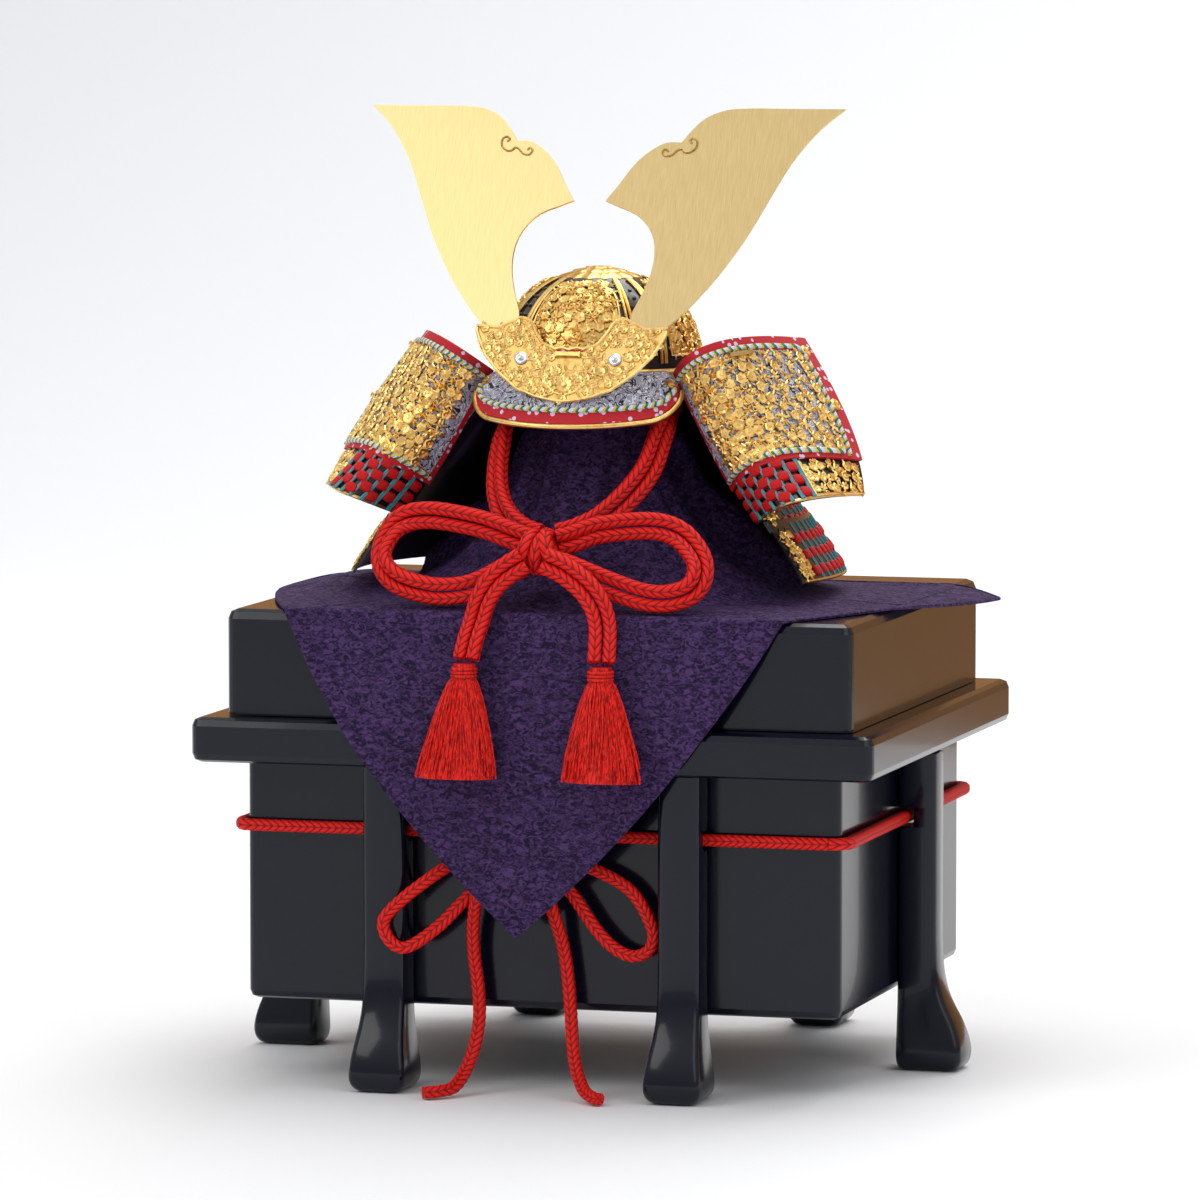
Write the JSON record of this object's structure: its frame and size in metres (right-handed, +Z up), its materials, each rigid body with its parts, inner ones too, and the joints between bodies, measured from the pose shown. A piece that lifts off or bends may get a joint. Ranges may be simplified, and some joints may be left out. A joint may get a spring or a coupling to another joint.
{
  "type": "kabuto samurai helmet on its storage chest stand",
  "caption": "Miniature kabuto samurai helmet with gold horns, red chin cord bow and tassels, over a purple cloth on a black lacquered chest tied with red rope.",
  "frame": {"origin": "on the floor under the centre of the chest", "axes": "+X to the viewer's right when facing the helmet, -Y towards the viewer, +Z up"},
  "size_m": [0.3258, 0.2927, 0.4218],
  "materials": {
    "lacquer": "black gloss lacquer on wood",
    "red_cord": "braided rayon cord",
    "tassel_silk": "combed rayon threads",
    "post_wood": "plain turned wood",
    "purple_cloth": "crepe with a stitched hem",
    "black_iron": "black lacquered metal with dark nail heads",
    "gold": "gold plated casting",
    "horn_gold": "pale gold plated, finely brushed",
    "silver": "bright turned",
    "printed_leather": "printed leather",
    "red_lacing": "laced silk cord over lacquer",
    "lame_lacquer": "black lacquered, red lacing outside"
  },
  "bodies": {
    "root": {"chest_body": "lacquer", "chest_collar": "lacquer", "chest_lid": "lacquer", "leg_front_left": "lacquer", "leg_front_right": "lacquer", "leg_back_right": "lacquer", "leg_back_left": "lacquer", "leg_side_right": "lacquer", "leg_side_left": "lacquer", "chest_rope": "red_cord", "rope_knot": "red_cord", "rope_bow_left": "red_cord", "rope_bow_right": "red_cord", "rope_tail_left": "red_cord", "rope_tail_right": "red_cord", "stand_post": "post_wood", "cloth": "purple_cloth", "bowl": "black_iron", "bowl_rim": "gold", "bowl_plate_front": "gold", "bowl_plate_right": "gold", "bowl_plate_back": "gold", "bowl_plate_left": "gold", "crown": "gold", "visor": "printed_leather", "visor_rim": "gold", "horn_base": "gold", "rivet_left": "silver", "rivet_right": "silver", "horn_bar": "gold", "horn_left": "horn_gold", "horn_right": "horn_gold", "wing_left": "printed_leather", "wing_gold_left": "gold", "wing_lower_left": "red_lacing", "wing_lower_gold_left": "gold", "wing_right": "printed_leather", "wing_gold_right": "gold", "wing_lower_right": "red_lacing", "wing_lower_gold_right": "gold", "lame_1": "lame_lacquer", "lame_2": "lame_lacquer", "lame_3": "lame_lacquer", "lame_4": "lame_lacquer", "bow_knot": "red_cord", "chin_cord_left": "red_cord", "chin_cord_right": "red_cord", "bow_loop_left": "red_cord", "bow_loop_right": "red_cord", "bow_tail_left": "red_cord", "bow_tail_right": "red_cord", "tassel_left": "tassel_silk", "tassel_right": "tassel_silk"}
  },
  "joints": []
}
